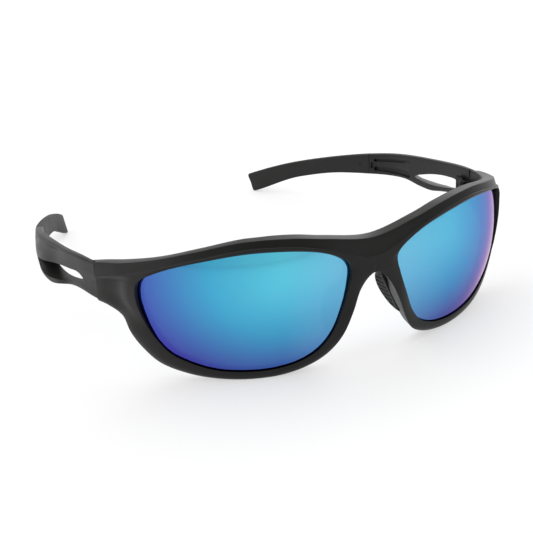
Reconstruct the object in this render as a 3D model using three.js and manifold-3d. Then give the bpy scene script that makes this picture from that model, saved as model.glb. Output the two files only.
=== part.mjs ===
// Wraparound sports sunglasses: full-rim front, two spherical lenses, push-on nose pads,
// folding temples with a window near the hinge, rubber temple tips and pinned metal hinges.
// Millimetres. +Z is up, the front faces -Y, the wearer's right side is -X.
// While parts are shaped, z = 0 is the top edge of the hinge joint and y = 0 is near the hinge.
import * as THREE from 'three';
import { mergeVertices } from 'three/addons/utils/BufferGeometryUtils.js';
import Module from 'manifold-3d';

const wasm = await Module();
wasm.setup();

// ---------- driving dimensions ----------
const TABLE = -33.5;                 // resting plane below the top of the hinge joint
const WRAP_RADIUS = 61;              // sphere that holds the front edge of each lens opening
const WRAP_CENTRE = new THREE.Vector3(-15, 14.5, -7);
const GAP = 0.3;                     // air between neighbouring pieces
const LENS_FRONT = 59.9;             // radius of the lens front
const LENS_THICKNESS = 1.8;
const LENS_SEAT = 0.9;               // how far the lens reaches into its groove
const GROOVE_DEPTH = LENS_SEAT + GAP;
const REAR_LIP = 1;
const SEAM_OUTER = -3.3;             // y of the visible seam on the outer side
const SEAM_INNER = 0.4;              // y of the seam on the inner side
const SEAM_LAP = -69.6;              // x of the plane where temple and front overlap
const HINGE = { x: -67, y: 0.8, top: -3, knuckle: 2.3, barrel: 1.7, bore: 0.85, pin: 0.7 };
const TIP_START = 62;                // y where the rubber tip begins
const TEMPLE_END = 124;
const STEPS = 2;                     // mesh rows between two control sections of the front
const FAR = 90;                      // beyond every piece

const BLACK = new THREE.MeshStandardMaterial({ color: 0x1b1b1b, roughness: 0.38, metalness: 0 });
const RUBBER = new THREE.MeshStandardMaterial({ color: 0x1d1d1c, roughness: 0.75, metalness: 0 });
const MIRROR = new THREE.MeshStandardMaterial({ color: 0x49b4dc, roughness: 0.05, metalness: 0.9 });
const STEEL = new THREE.MeshStandardMaterial({ color: 0x9a9a9a, roughness: 0.35, metalness: 1 });

// ---------- small helpers ----------
const vec = (x, y, z) => new THREE.Vector3(x, y, z);

// A point near the lens sphere: arc length around it, height, and distance proud of it.
function wrap(arc, z, proud = 0) {
  const turn = arc / WRAP_RADIUS;
  const reach = Math.sqrt((WRAP_RADIUS + proud) ** 2 - (z - WRAP_CENTRE.z) ** 2);
  return vec(WRAP_CENTRE.x - reach * Math.sin(turn), WRAP_CENTRE.y - reach * Math.cos(turn), z);
}

// Smooth function of one variable through [input, value] pairs.
function profile(pairs) {
  const knots = pairs.map(([u, v]) => vec(u, v, 0));
  const curve = new THREE.CatmullRomCurve3(knots, false, 'centripetal');
  const samples = curve.getPoints(40 * (pairs.length - 1));
  return (u) => {
    const next = Math.min(Math.max(samples.findIndex((p) => p.x >= u), 1), samples.length - 1);
    const [a, b] = [samples[next - 1], samples[next]];
    return THREE.MathUtils.mapLinear(u, a.x, b.x, a.y, b.y);
  };
}

function geometryFrom(points, faces) {
  const geometry = new THREE.BufferGeometry();
  const positions = points.flatMap((p) => p.toArray());
  geometry.setAttribute('position', new THREE.Float32BufferAttribute(positions, 3));
  geometry.setIndex(faces.flat());
  return mergeVertices(geometry, 1e-4);
}

const quad = (a, b, c, d) => [[a, b, c], [a, c, d]];

// The faces between two rows of points that start at the given indices.
function band(near, far, i, next) {
  return quad(near + i, near + next, far + next, far + i);
}

// A closed tube of rings with flat ends; every ring has the same number of points.
function loft(rings) {
  const width = rings[0].length;
  const faces = [];
  rings.slice(1).forEach((_, row) => {
    for (let i = 0; i < width; i += 1) {
      faces.push(...band(row * width, (row + 1) * width, i, (i + 1) % width));
    }
  });
  const points = rings.flat();
  [[rings[0], false], [rings.at(-1), true]].forEach(([ring, far]) => {
    const middle = ring.reduce((sum, p) => sum.add(p), vec(0, 0, 0)).divideScalar(width);
    points.push(middle);
    const start = far ? (rings.length - 1) * width : 0;
    for (let i = 0; i < width; i += 1) {
      const edge = [start + i, start + (i + 1) % width];
      faces.push([points.length - 1, ...(far ? edge : edge.reverse())]);
    }
  });
  return geometryFrom(points, faces);
}

function toSolid(geometry) {
  const bare = new THREE.BufferGeometry();
  bare.setAttribute('position', geometry.getAttribute('position').clone());
  bare.setIndex(geometry.index ? geometry.index.clone() : null);
  const merged = mergeVertices(bare, 1e-4);
  const vertProperties = new Float32Array(merged.getAttribute('position').array);
  const build = (triVerts) => new wasm.Manifold(new wasm.Mesh({ numProp: 3, vertProperties, triVerts }));
  const triVerts = new Uint32Array(merged.index.array);
  const solid = build(triVerts);
  return solid.volume() > 0 ? solid : build(triVerts.slice().reverse());
}

function toMesh(name, solid, material) {
  const { numProp, vertProperties, triVerts } = solid.getMesh();
  const positions = [];
  for (let i = 0; i < vertProperties.length; i += numProp) {
    positions.push(...vertProperties.slice(i, i + 3));
  }
  const geometry = new THREE.BufferGeometry();
  geometry.setAttribute('position', new THREE.Float32BufferAttribute(positions, 3));
  geometry.setIndex(Array.from(triVerts));
  const mesh = new THREE.Mesh(geometry, material);
  mesh.name = name;
  return mesh;
}

function block(low, high) {
  const size = high.clone().sub(low);
  const middle = low.clone().add(high).multiplyScalar(0.5);
  return toSolid(new THREE.BoxGeometry(size.x, size.y, size.z).translate(middle.x, middle.y, middle.z));
}

// An upright cylinder between two heights.
function post(x, y, low, high, radius, sides = 20) {
  const shape = new THREE.CylinderGeometry(radius, radius, high - low, sides);
  return toSolid(shape.rotateX(Math.PI / 2).translate(x, y, (low + high) / 2));
}

const BELOW_TABLE = block(vec(-FAR, -FAR, -FAR), vec(FAR, 2 * FAR, TABLE));

// ---------- front frame ----------
// Control sections around the right opening, from the top of the bridge over the brow to the
// hinge, back under the lens and up the nose side. edge: [arc, z] of the opening, front: outer
// edge of the front face (the crease under the brow), back: rear outer edge, crest and top: the
// front and rear edges of the brow's top face, valley: how much of the face's usual rise
// between its two edges is taken away; beyond that rise it becomes a hollow.
const BROW = [
  { edge: [-6.2, 0.6], front: vec(0, -46.5, 0.7), crest: vec(0, -45.6, 6), top: vec(0, -42.6, 6.4),
    back: vec(0, -40.8, 0.7), valley: 0.35 },
  { edge: [0.8, 4.7], front: vec(-15.5, -46.3, 6), crest: vec(-15.5, -45.4, 8.9),
    top: vec(-15, -42.4, 9.1), back: wrap(0.4, 6.6, -4.8), valley: 0 },
  { edge: [10, 7.1], front: vec(-25, -44.9, 8.5), crest: vec(-25, -43.9, 10.7),
    top: vec(-24, -41, 10.9), back: wrap(9.6, 8.9, -4.8), valley: 0 },
  { edge: [24, 8.1], front: vec(-38, -40.9, 9.5), crest: vec(-38.2, -39.8, 11.4),
    top: vec(-36.8, -37.1, 11.4), back: wrap(24, 9.9, -4.8), valley: 0 },
  { edge: [37, 6.6], front: vec(-50, -34.6, 7.5), crest: vec(-50.2, -33.3, 9.2),
    top: vec(-48, -31.3, 9.3), back: wrap(37.2, 8.5, -4.8), valley: 0 },
  { edge: [47.1, 4.3], front: vec(-59, -26.8, 4.6), crest: vec(-59.3, -25.3, 6.5),
    top: vec(-56.6, -23.9, 6.6), back: wrap(47.6, 6.2, -4.8), valley: 0.1 },
  { edge: [54.2, 1.5], front: vec(-66.2, -15.5, 0.6), crest: vec(-66.2, -14, 3.4),
    top: vec(-63, -12.9, 3.6), back: vec(-61.9, -13.5, 0), valley: 0.9 },
  { edge: [56.2, 0.3], front: vec(-69.2, -7.6, -1.9), crest: vec(-69, -6.6, 1.9),
    top: vec(-66.6, -5.9, 2.1), back: vec(-66.4, -6.6, -2.2), valley: 1.1 },
  { edge: [57.3, -1], front: vec(-71.6, SEAM_INNER, -4), crest: vec(-71.5, SEAM_INNER, 0.2),
    top: vec(-69.5, SEAM_INNER, 0.5), back: vec(-69, SEAM_INNER, -4), valley: 0.5 },
];
const SEAM = [
  BROW.at(-1),
  { edge: [57.9, -3.5], front: vec(-71.6, SEAM_INNER, -7.6),
    back: vec(-69, SEAM_INNER, -7.6), valley: 0.5 },
  { edge: [57.8, -6.6], front: vec(-71.4, SEAM_INNER, -11.2),
    back: vec(-69, SEAM_INNER, -11), valley: 0.4 },
];
const LOWER = [
  SEAM.at(-1),
  { edge: [57.3, -9], front: vec(-68.6, -7.9, -11.6), back: vec(-66.2, -7.4, -11.2), valley: 0.6 },
  { edge: [56.4, -12], front: vec(-66.6, -13.2, -13.4), back: vec(-63.6, -12.2, -12.8), valley: 0.4 },
  { edge: [55, -15.8], front: wrap(62.6, -17.6, -0.6), back: wrap(62, -17, -4.6), valley: 0.2 },
  { edge: [53.2, -19.4], front: wrap(59.6, -22.6, -0.6), back: wrap(58.8, -22, -4.6), valley: 0.1 },
  { edge: [50, -23.4], front: wrap(54.8, -27.6, -0.6), back: wrap(54, -27, -4.6), valley: 0 },
  { edge: [44.4, -26.5], front: wrap(46.8, -30.7, -0.6), back: wrap(46.3, -30.2, -4.6), valley: 0 },
  { edge: [36.6, -29.2], front: wrap(38, -32.5, -0.6), back: wrap(37.7, -32.2, -4.6), valley: 0 },
  { edge: [27, -30.4], front: wrap(27.3, -33.5, -0.6), back: wrap(27.3, -33.4, -4.6), valley: 0 },
  { edge: [17.6, -30.5], front: wrap(16.7, -33.5, -0.6), back: wrap(16.9, -33.3, -4.6), valley: 0 },
  { edge: [9, -29], front: wrap(7.4, -32, -0.6), back: wrap(7.8, -31.7, -4.6), valley: 0 },
  { edge: [2.8, -25.9], front: wrap(0.4, -28.6, -0.2), back: wrap(0.9, -28, -4.4), valley: 0 },
  { edge: [-1.2, -20.8], front: wrap(-4, -22.6, 0.7), back: wrap(-3.6, -22, -4.9), valley: 0.2 },
  { edge: [-4, -13.8], front: wrap(-7, -15.1, 0.9), back: wrap(-7.2, -15, -4.9), valley: 0.3 },
  { edge: [-5.8, -8.4], front: wrap(-9.7, -9.2, 0.5), back: wrap(-9.3, -9, -4.9), valley: 0.3 },
  { edge: [-6.6, -5.6], front: vec(-2.6, -46.3, -5.9), back: vec(-2.8, -41.4, -5.9), valley: 0.3 },
  { edge: [-7.1, -3.6], front: vec(0, -46.4, -4.6), back: vec(0, -41, -5), valley: 0.35 },
];
const BRIDGE = [
  LOWER.at(-1),
  { edge: [-7.1, -1.6], front: vec(0, -46.6, -1.9), back: vec(0, -40.6, -2.2), valley: 0.35 },
  BROW[0],
];
const PIECES = [BROW, SEAM, LOWER, BRIDGE];

// Rows of the front face: share of the way from the opening to the outer edge, usual rise.
const FACE_ROWS = [[0.4, 0.4], [0.8, 0.5]];

const mirrored = (point) => vec(-point.x, point.y, point.z);

// Samples one column of a piece. Beyond a section on the middle plane the curve goes on as its
// own mirror image, so that the two halves join smoothly.
function column(piece, key, withEnd = false) {
  const knots = piece.map((section) => section[key]);
  const onPlane = knots.every((point) => point.x === 0);
  const lead = !onPlane && knots[0].x === 0 ? 1 : 0;
  const tail = !onPlane && knots.at(-1).x === 0 ? 1 : 0;
  if (lead) knots.unshift(mirrored(knots[1]));
  if (tail) knots.push(mirrored(knots.at(-2)));
  const curve = new THREE.CatmullRomCurve3(knots, false, 'centripetal');
  const points = curve.getPoints((knots.length - 1) * STEPS);
  const last = points.length - tail * STEPS;
  return points.slice(lead * STEPS, withEnd ? last : last - 1);
}

function openingOutline() {
  const sections = PIECES.flatMap((piece) => piece.slice(0, -1));
  const knots = sections.map(({ edge }) => vec(edge[0], edge[1], 0));
  const curve = new THREE.CatmullRomCurve3(knots, true, 'centripetal');
  return curve.getPoints(sections.length * STEPS).slice(0, -1);
}

// The opening outline moved outwards by a distance, at a radius of the sphere.
function openingRing(outline, outward, radius) {
  return outline.map((point, i) => {
    const before = outline.at(i - 1);
    const after = outline[(i + 1) % outline.length];
    const along = after.clone().sub(before).normalize();
    return wrap(point.x - along.y * outward, point.y + along.x * outward, radius - WRAP_RADIUS);
  });
}

function halfFront() {
  const outline = openingOutline();
  const count = outline.length;
  const edge = openingRing(outline, 0, WRAP_RADIUS);
  const front = PIECES.flatMap((piece) => column(piece, 'front'));
  const back = PIECES.flatMap((piece) => column(piece, 'back'));
  const valleys = PIECES.flatMap((piece) => piece.slice(0, -1).flatMap((section, i) => (
    Array.from({ length: STEPS }, (_, k) => (
      THREE.MathUtils.lerp(section.valley, piece[i + 1].valley, k / STEPS))))));
  const faceRow = ([share, rise]) => edge.map((point, i) => {
    const middle = point.clone().lerp(front[i], share);
    const normal = middle.clone().sub(WRAP_CENTRE).normalize();
    return middle.addScaledVector(normal, rise - valleys[i]);
  });
  const grooveFront = LENS_FRONT + GAP;
  const grooveBack = LENS_FRONT - LENS_THICKNESS - GAP;
  const lips = [
    openingRing(outline, 0, grooveBack - REAR_LIP),
    openingRing(outline, 0, grooveBack),
    openingRing(outline, GROOVE_DEPTH, grooveBack),
    openingRing(outline, GROOVE_DEPTH, grooveFront),
    openingRing(outline, 0, grooveFront),
  ];
  const rows = [edge, ...FACE_ROWS.map(faceRow), front, back, ...lips];
  const frontRow = rows.indexOf(front);
  const backRow = rows.indexOf(back);
  const crest = column(BROW, 'crest', true);
  const top = column(BROW, 'top', true);
  const points = [...rows.flat(), ...crest, ...top];
  const at = (row, i) => row * count + (i % count);
  const crestAt = (i) => rows.length * count + i;
  const topAt = (i) => crestAt(crest.length) + i;
  const browEnd = crest.length - 1;
  const bridgeStart = count - (BRIDGE.length - 1) * STEPS;
  const faces = [];
  for (let i = 0; i < count; i += 1) {
    rows.forEach((_, row) => {
      const next = (row + 1) % rows.length;
      const underBrow = i < browEnd || i >= bridgeStart;
      if (row !== frontRow || !underBrow) {
        faces.push(...quad(at(row, i), at(next, i), at(next, i + 1), at(row, i + 1)));
      }
    });
    if (i < browEnd) {
      faces.push(...quad(at(frontRow, i), crestAt(i), crestAt(i + 1), at(frontRow, i + 1)));
      faces.push(...quad(crestAt(i), topAt(i), topAt(i + 1), crestAt(i + 1)));
      faces.push(...quad(topAt(i), at(backRow, i), at(backRow, i + 1), topAt(i + 1)));
    }
  }
  faces.push(...quad(at(frontRow, browEnd), crestAt(browEnd), topAt(browEnd), at(backRow, browEnd)));
  return { points, faces };
}

function frontFrame() {
  const half = halfFront();
  const count = half.points.length;
  const otherFaces = half.faces.map(([a, b, c]) => [count + a, count + c, count + b]);
  const points = [...half.points, ...half.points.map(mirrored)];
  let solid = toSolid(geometryFrom(points, [...half.faces, ...otherFaces]));
  [-1, 1].forEach((side) => {
    const [low, high] = [SEAM_LAP * side, -FAR * side].sort((p, q) => p - q);
    solid = solid.subtract(block(vec(low, SEAM_OUTER, -FAR), vec(high, FAR, FAR)));
  });
  return solid.subtract(BELOW_TABLE);
}

// ---------- lenses ----------
function lens() {
  const outline = openingOutline();
  const heart = vec(25, -11, 0);
  const shares = [1, 0.8, 0.5, 0.2];
  const face = (radius) => shares.map((share) => {
    const ring = share === 1 ? outline : outline.map((p) => heart.clone().lerp(p, share));
    return openingRing(ring, share === 1 ? LENS_SEAT : 0, radius);
  });
  return toSolid(loft([...face(LENS_FRONT).reverse(), ...face(LENS_FRONT - LENS_THICKNESS)]));
}

// ---------- temples ----------
// Right temple, along y: inner face (distance from the middle plane), top and bottom heights,
// and how thick it is at the top, at the widest level and at the bottom.
const INNER = profile([[-4, 69], [0, 69.2], [8, 69.9], [20, 70.7], [38, 70.6], [50, 69.8], [62, 67],
  [76, 62], [92, 55.6], [108, 49], [126, 41.6]]);
const TOP = profile([[-4, 1], [8, 0], [20, -1.5], [40, -4.1], [60, -7.6], [80, -12.2], [100, -17.9],
  [112, -22.2], [126, -28]]);
const BOTTOM = profile([[-4, -11.1], [8, -11.2], [14, -11.8], [20, -13], [26, -14.3], [33, -14.5],
  [42, -13.9], [52, -14.8], [62, -16.2], [80, -19], [96, -23.4], [110, -28.3], [126, -34.5]]);
const THICK_TOP = profile([[-4, 1.2], [1, 1.7], [8, 2.1], [30, 2.2], [48, 2.6], [62, 2.6],
  [126, 2.4]]);
const THICK_MIDDLE = profile([[-4, 1.4], [1, 2], [10, 2.4], [24, 3.4], [34, 5], [42, 4.8], [52, 3.6],
  [62, 3.1], [126, 2.6]]);
const THICK_BOTTOM = profile([[-4, 1.1], [1, 1.8], [10, 2.2], [16, 2.8], [22, 4.8], [30, 5.6], [37, 5.4],
  [46, 4], [56, 3], [62, 2.8], [126, 2.4]]);
const MIDDLE_LEVEL = 0.55;           // height share of the widest level, from the top
const END_SLANT = 5;                 // how much further back the top of the end is
const SLANT_START = 96;              // y where the sections begin to lean
const EDGE = 0.6;                    // size of the softened long edges

// A point of the temple section at y: depth is measured outwards from the inner face.
function templePoint(y, depth, z) {
  const slope = INNER(y + 0.5) - INNER(y - 0.5);
  const length = Math.hypot(1, slope);
  const height = (z - TOP(y)) / (TOP(y) - BOTTOM(y));
  const slant = END_SLANT * height * THREE.MathUtils.smoothstep(y, SLANT_START, TEMPLE_END);
  return vec(-INNER(y) - depth / length, y + slant - depth * slope / length, z);
}

function templeSection(y) {
  const [top, bottom] = [TOP(y), BOTTOM(y)];
  const middle = THREE.MathUtils.lerp(top, bottom, MIDDLE_LEVEL);
  return [
    [0, top - EDGE], [EDGE, top], [THICK_TOP(y) - EDGE, top], [THICK_TOP(y), top - EDGE],
    [THICK_MIDDLE(y), middle], [THICK_BOTTOM(y), bottom + EDGE], [THICK_BOTTOM(y) - EDGE, bottom],
    [EDGE, bottom], [0, bottom + EDGE],
  ].map(([depth, z]) => templePoint(y, depth, z));
}

function stations(start, end, pitch) {
  const count = Math.ceil((end - start) / pitch);
  return Array.from({ length: count + 1 }, (_, i) => THREE.MathUtils.lerp(start, end, i / count));
}

const PITCH = 3;                     // distance between two sections
const templeBar = (start, end) => toSolid(loft(stations(start, end, PITCH).map(templeSection)));

// A bar that follows the temple: depths from the inner face, heights as functions of y.
function follower(start, end, depths, high, low) {
  const [near, far] = depths;
  return toSolid(loft(stations(start, end, PITCH).map((y) => [
    templePoint(y, near, high(y)), templePoint(y, far, high(y)),
    templePoint(y, far, low(y)), templePoint(y, near, low(y)),
  ])));
}

// The window tapers: its outline is longer on the outer side than on the inner side.
const WINDOW_INNER = [[7, -7.6], [10, -5.6], [15, -5.6], [20, -6.4], [27, -8.4], [33, -11], [30, -11.3],
  [25, -11.4], [19, -10.7], [12, -9.2]];
const WINDOW_INNER_X = -69;
const WINDOW_OUTER_X = -75;
const WINDOW_OUTER = [[1.5, -7.8], [5, -5.6], [14, -6.4], [24, -7.6], [34, -9.4], [43, -11.6], [39, -13],
  [30, -13], [20, -11.7], [9, -9.6]];

function templeWindow() {
  const ring = (outline, x) => {
    const knots = outline.map(([y, z]) => vec(x, y, z));
    const curve = new THREE.CatmullRomCurve3(knots, true, 'centripetal');
    return curve.getPoints(outline.length * 2).slice(0, -1);
  };
  const inner = ring(WINDOW_INNER, WINDOW_INNER_X);
  const outer = ring(WINDOW_OUTER, WINDOW_OUTER_X);
  const beyond = (from, to, share) => from.map((p, i) => p.clone().lerp(to[i], share));
  return toSolid(loft([beyond(inner, outer, -0.4), inner, outer, beyond(inner, outer, 1.5)]));
}

// Depths from the inner face, distance from the top and bottom, and reach to either side of
// the joint with the tip.
const CORE = { depths: [0.9, 1.9], margin: 1.9, start: TIP_START - 4, end: 106 };

// The flat tongue that carries the rubber tip, or the socket for it when grown by the gap.
function tipCore(grow) {
  const high = (y) => TOP(y) - CORE.margin + grow;
  const low = (y) => BOTTOM(y) + CORE.margin - grow;
  const depths = [CORE.depths[0] - grow, CORE.depths[1] + grow];
  return follower(CORE.start, CORE.end + grow, depths, high, low);
}

// Two grooves in the inner face: a thin one under the top edge, a wider one above the bottom.
const INNER_SLOTS = [
  { start: 37, depth: 0.7, high: (y) => TOP(y) - 2.1, low: (y) => TOP(y) - 2.9 },
  { start: 36, depth: 0.9, high: (y) => BOTTOM(y) + 3.3, low: (y) => BOTTOM(y) + 1.6 },
];

function temple() {
  let solid = templeBar(SEAM_OUTER + GAP, TIP_START).subtract(templeWindow());
  INNER_SLOTS.forEach(({ start, depth, high, low }) => {
    solid = solid.subtract(follower(start, TIP_START - 4, [-1, depth], high, low));
  });
  const lap = block(vec(SEAM_LAP - GAP, -FAR, -FAR), vec(0, SEAM_INNER + GAP, FAR));
  return solid.subtract(lap).add(tipCore(0)).subtract(templeLeafScrew(GAP / 2));
}

function templeTip() {
  return templeBar(TIP_START + GAP, TEMPLE_END).subtract(tipCore(GAP)).subtract(BELOW_TABLE);
}

// ---------- hinges ----------
const KNUCKLE_LEVELS = [0, 1, 2].map((i) => HINGE.top - i * (HINGE.knuckle + GAP));
const HINGE_BOTTOM = KNUCKLE_LEVELS[2] - HINGE.knuckle;
const LEAF = { thick: 0.9, screw: 0.55 };
const FRONT_LEAF = { at: vec(-68.1, -1.4, 0), turn: 0.36, length: 8 };
const TEMPLE_LEAF = { at: vec(-68.85, 3, 0), turn: 0.09, length: 4 };
const SCREW_PLACE = 0.6;             // how far along its leaf each screw sits

// A box turned about Z and then moved to its origin.
function plate(origin, turn, low, high) {
  const size = vec(high[0] - low[0], high[1] - low[1], high[2] - low[2]);
  const shape = new THREE.BoxGeometry(size.x, size.y, size.z);
  shape.translate((low[0] + high[0]) / 2, (low[1] + high[1]) / 2, (low[2] + high[2]) / 2);
  return toSolid(shape.rotateZ(turn).translate(origin.x, origin.y, origin.z));
}

// The leaf's plate; grown by the gap it is the pocket that it lies in.
function frontLeafPlate(grow) {
  const low = [-grow, -FRONT_LEAF.length - grow, HINGE_BOTTOM - grow];
  const high = [LEAF.thick + grow, grow, HINGE.top + grow];
  return plate(FRONT_LEAF.at, FRONT_LEAF.turn, low, high);
}

function templeLeafPlate(grow) {
  const low = [-grow, -grow, HINGE_BOTTOM - grow];
  const high = [LEAF.thick + grow, TEMPLE_LEAF.length + grow, HINGE.top + grow];
  return plate(TEMPLE_LEAF.at, TEMPLE_LEAF.turn, low, high);
}

function knuckle(level) {
  const low = KNUCKLE_LEVELS[level] - HINGE.knuckle;
  return post(HINGE.x, HINGE.y, low, KNUCKLE_LEVELS[level], HINGE.barrel);
}

const pinBore = () => post(HINGE.x, HINGE.y, -FAR, FAR, HINGE.bore);

// A small countersunk rivet screw through a leaf into the plastic behind it.
function leafScrew({ at, turn }, along, grow) {
  const outline = [
    [0, 0.55], [1.05, 0.55], [1.05, 0.15], [LEAF.screw, -0.35], [LEAF.screw, -1.5], [0, -1.5],
  ];
  const grown = outline.map(([radius, height]) => new THREE.Vector2(
    radius === 0 ? 0 : radius + grow, height + Math.sign(height) * grow));
  const shape = new THREE.LatheGeometry(grown, 16).rotateZ(-Math.PI / 2);
  shape.translate(LEAF.thick / 2 + 0.3, along, (HINGE.top + HINGE_BOTTOM) / 2);
  return toSolid(shape.rotateZ(turn).translate(at.x, at.y, at.z));
}

const frontLeafScrew = (grow) => leafScrew(FRONT_LEAF, -FRONT_LEAF.length * SCREW_PLACE, grow);
const templeLeafScrew = (grow) => leafScrew(TEMPLE_LEAF, TEMPLE_LEAF.length * SCREW_PLACE, grow);

// The stub between the front leaf's plate and its knuckles.
function frontNeck(grow) {
  return block(vec(-68.3 - grow, -1.8 - grow, HINGE_BOTTOM - grow), vec(-67.2, 0.6, HINGE.top + grow));
}

function frontLeaf() {
  const clearance = post(HINGE.x, HINGE.y, KNUCKLE_LEVELS[2], KNUCKLE_LEVELS[0] - HINGE.knuckle,
    HINGE.barrel + GAP);
  return frontLeafPlate(0).add(frontNeck(0)).subtract(clearance).add(knuckle(0)).add(knuckle(2))
    .subtract(pinBore()).subtract(screwHeadSeat()).subtract(frontLeafScrew(GAP / 2));
}

function templeLeaf() {
  const neckLow = vec(-68.7, HINGE.y, KNUCKLE_LEVELS[1] - HINGE.knuckle);
  const neck = block(neckLow, vec(-67.9, 3.6, KNUCKLE_LEVELS[1]));
  return templeLeafPlate(0).add(neck).add(knuckle(1)).subtract(pinBore())
    .subtract(templeLeafScrew(GAP / 2));
}

const HEAD = { radius: 1.25, depth: 0.6, slot: 0.4 };

function screwHeadSeat() {
  return post(HINGE.x, HINGE.y, HINGE.top - HEAD.depth - GAP, FAR, HEAD.radius + GAP / 2);
}

function hingeScrew() {
  const head = post(HINGE.x, HINGE.y, HINGE.top - HEAD.depth, HINGE.top, HEAD.radius);
  const slot = block(vec(HINGE.x - HEAD.radius, HINGE.y - HEAD.slot / 2, HINGE.top - HEAD.depth / 2),
    vec(HINGE.x + HEAD.radius, HINGE.y + HEAD.slot / 2, 0));
  return post(HINGE.x, HINGE.y, HINGE_BOTTOM, HINGE.top - 0.1, HINGE.pin).add(head).subtract(slot);
}

// ---------- nose pads ----------
const PAD = { root: 0.3, depth: 8, height: 15.8, thick: 2.2 };
const PAD_ARM = { root: -1.3, depth: 4.6, height: 10, thick: 0.8 };
const PAD_ORIGIN = vec(-9.6, -40.6, -15.3);
const PAD_BASIS = new THREE.Matrix4().makeBasis(
  vec(-0.02, 1, -0.03).normalize(), vec(0.38, 0.03, 0.925).normalize(),
  vec(0.926, 0.007, -0.38).normalize());

// A half-ellipse plate along depth and height, its straight side at the root, grown all round.
function halfEllipse({ root, depth, height, thick }, grow) {
  const shape = new THREE.Shape();
  const [start, reach, rise] = [root - grow, depth - root + 2 * grow, height / 2 + grow];
  shape.moveTo(start, -rise);
  shape.absellipse(start, 0, reach, rise, -Math.PI / 2, Math.PI / 2, false, 0);
  const settings = { depth: thick + 2 * grow, bevelEnabled: false, curveSegments: 20 };
  const solid = new THREE.ExtrudeGeometry(shape, settings);
  solid.translate(0, 0, -thick / 2 - grow).applyMatrix4(PAD_BASIS);
  return toSolid(solid.translate(PAD_ORIGIN.x, PAD_ORIGIN.y, PAD_ORIGIN.z));
}

const padArm = (grow) => halfEllipse(PAD_ARM, grow);
const nosePad = () => halfEllipse(PAD, 0).subtract(padArm(GAP));

// ---------- assembly ----------
function mirrorX(solid) {
  const { numProp, vertProperties, triVerts } = solid.getMesh();
  const flipped = vertProperties.map((value, i) => (i % numProp === 0 ? -value : value));
  const turned = triVerts.slice().reverse();
  return new wasm.Manifold(new wasm.Mesh({ numProp, vertProperties: flipped, triVerts: turned }));
}

function front() {
  const padRoom = halfEllipse(PAD, GAP);
  const cuts = [frontLeafPlate(GAP), frontNeck(GAP), frontLeafScrew(GAP / 2), padRoom];
  let solid = frontFrame();
  cuts.forEach((cut) => {
    solid = solid.subtract(cut).subtract(mirrorX(cut));
  });
  return solid.add(padArm(0)).add(mirrorX(padArm(0)));
}

const PAIRS = [
  ['lens', lens(), MIRROR],
  ['nose_pad', nosePad(), RUBBER],
  ['temple', temple().subtract(templeLeafPlate(GAP)), BLACK],
  ['temple_tip', templeTip(), RUBBER],
  ['hinge_front_leaf', frontLeaf(), STEEL],
  ['hinge_temple_leaf', templeLeaf(), STEEL],
  ['hinge_screw', hingeScrew(), STEEL],
  ['front_leaf_screw', frontLeafScrew(0), STEEL],
  ['temple_leaf_screw', templeLeafScrew(0), STEEL],
];

const glasses = new THREE.Group();
glasses.add(toMesh('front_frame', front(), BLACK));
PAIRS.forEach(([name, solid, material]) => {
  glasses.add(toMesh(`${name}_right`, solid, material));
  glasses.add(toMesh(`${name}_left`, mirrorX(solid), material));
});

// Stand the glasses on the table, with the origin under the middle of their box.
const bounds = new THREE.Box3().setFromObject(glasses);
glasses.position.set(0, -(bounds.min.y + bounds.max.y) / 2, -bounds.min.z);

export default glasses;
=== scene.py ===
"""Wraparound sports sunglasses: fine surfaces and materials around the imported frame.

Shapes are written in millimetres of the design frame, whose z = 0 is the top edge of the hinge
joint and whose y = 0 is near the hinge. new_object() turns them into metres of the frame.
The wearer's right side is -X, and every left piece is the mirror image of a right one.
"""
import math

import bmesh
import bpy
import numpy as np
from mathutils import Matrix, Vector


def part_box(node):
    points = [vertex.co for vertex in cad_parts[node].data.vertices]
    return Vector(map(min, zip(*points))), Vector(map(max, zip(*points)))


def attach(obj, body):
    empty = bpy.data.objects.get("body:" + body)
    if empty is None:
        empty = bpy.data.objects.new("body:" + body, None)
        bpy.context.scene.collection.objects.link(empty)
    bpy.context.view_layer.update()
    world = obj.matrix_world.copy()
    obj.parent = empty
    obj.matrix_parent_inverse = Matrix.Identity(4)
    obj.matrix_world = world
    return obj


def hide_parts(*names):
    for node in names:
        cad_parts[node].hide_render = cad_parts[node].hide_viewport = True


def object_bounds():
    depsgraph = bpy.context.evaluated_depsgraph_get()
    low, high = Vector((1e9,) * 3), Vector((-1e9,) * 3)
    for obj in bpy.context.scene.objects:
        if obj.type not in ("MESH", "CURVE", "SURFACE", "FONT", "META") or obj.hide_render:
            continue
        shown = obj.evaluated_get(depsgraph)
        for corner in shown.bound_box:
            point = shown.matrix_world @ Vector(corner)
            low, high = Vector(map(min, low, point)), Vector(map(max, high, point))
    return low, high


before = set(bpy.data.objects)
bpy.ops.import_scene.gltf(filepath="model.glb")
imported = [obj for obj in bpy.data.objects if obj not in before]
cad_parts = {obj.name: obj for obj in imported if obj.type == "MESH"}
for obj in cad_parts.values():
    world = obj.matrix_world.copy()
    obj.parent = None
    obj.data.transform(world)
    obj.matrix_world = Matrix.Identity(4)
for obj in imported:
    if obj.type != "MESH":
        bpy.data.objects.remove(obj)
cad_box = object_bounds()

MM = 0.001
PIN_X = -67.0                    # hinge axis in the design frame
PIN_Y = 0.8
PIN_TOP = -3.0
GAP = 0.3                        # air between neighbouring pieces
FAR = 90.0                       # beyond every piece

pin_low, pin_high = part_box("hinge_screw_right")
SHIFT = np.array([0, (pin_low.y + pin_high.y) / 2 / MM - PIN_Y, pin_high.z / MM - PIN_TOP])
INSET = 0.01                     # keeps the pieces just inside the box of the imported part
BOX_LOW, BOX_HIGH = (np.array(corner) / MM - SHIFT for corner in cad_box)


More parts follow.
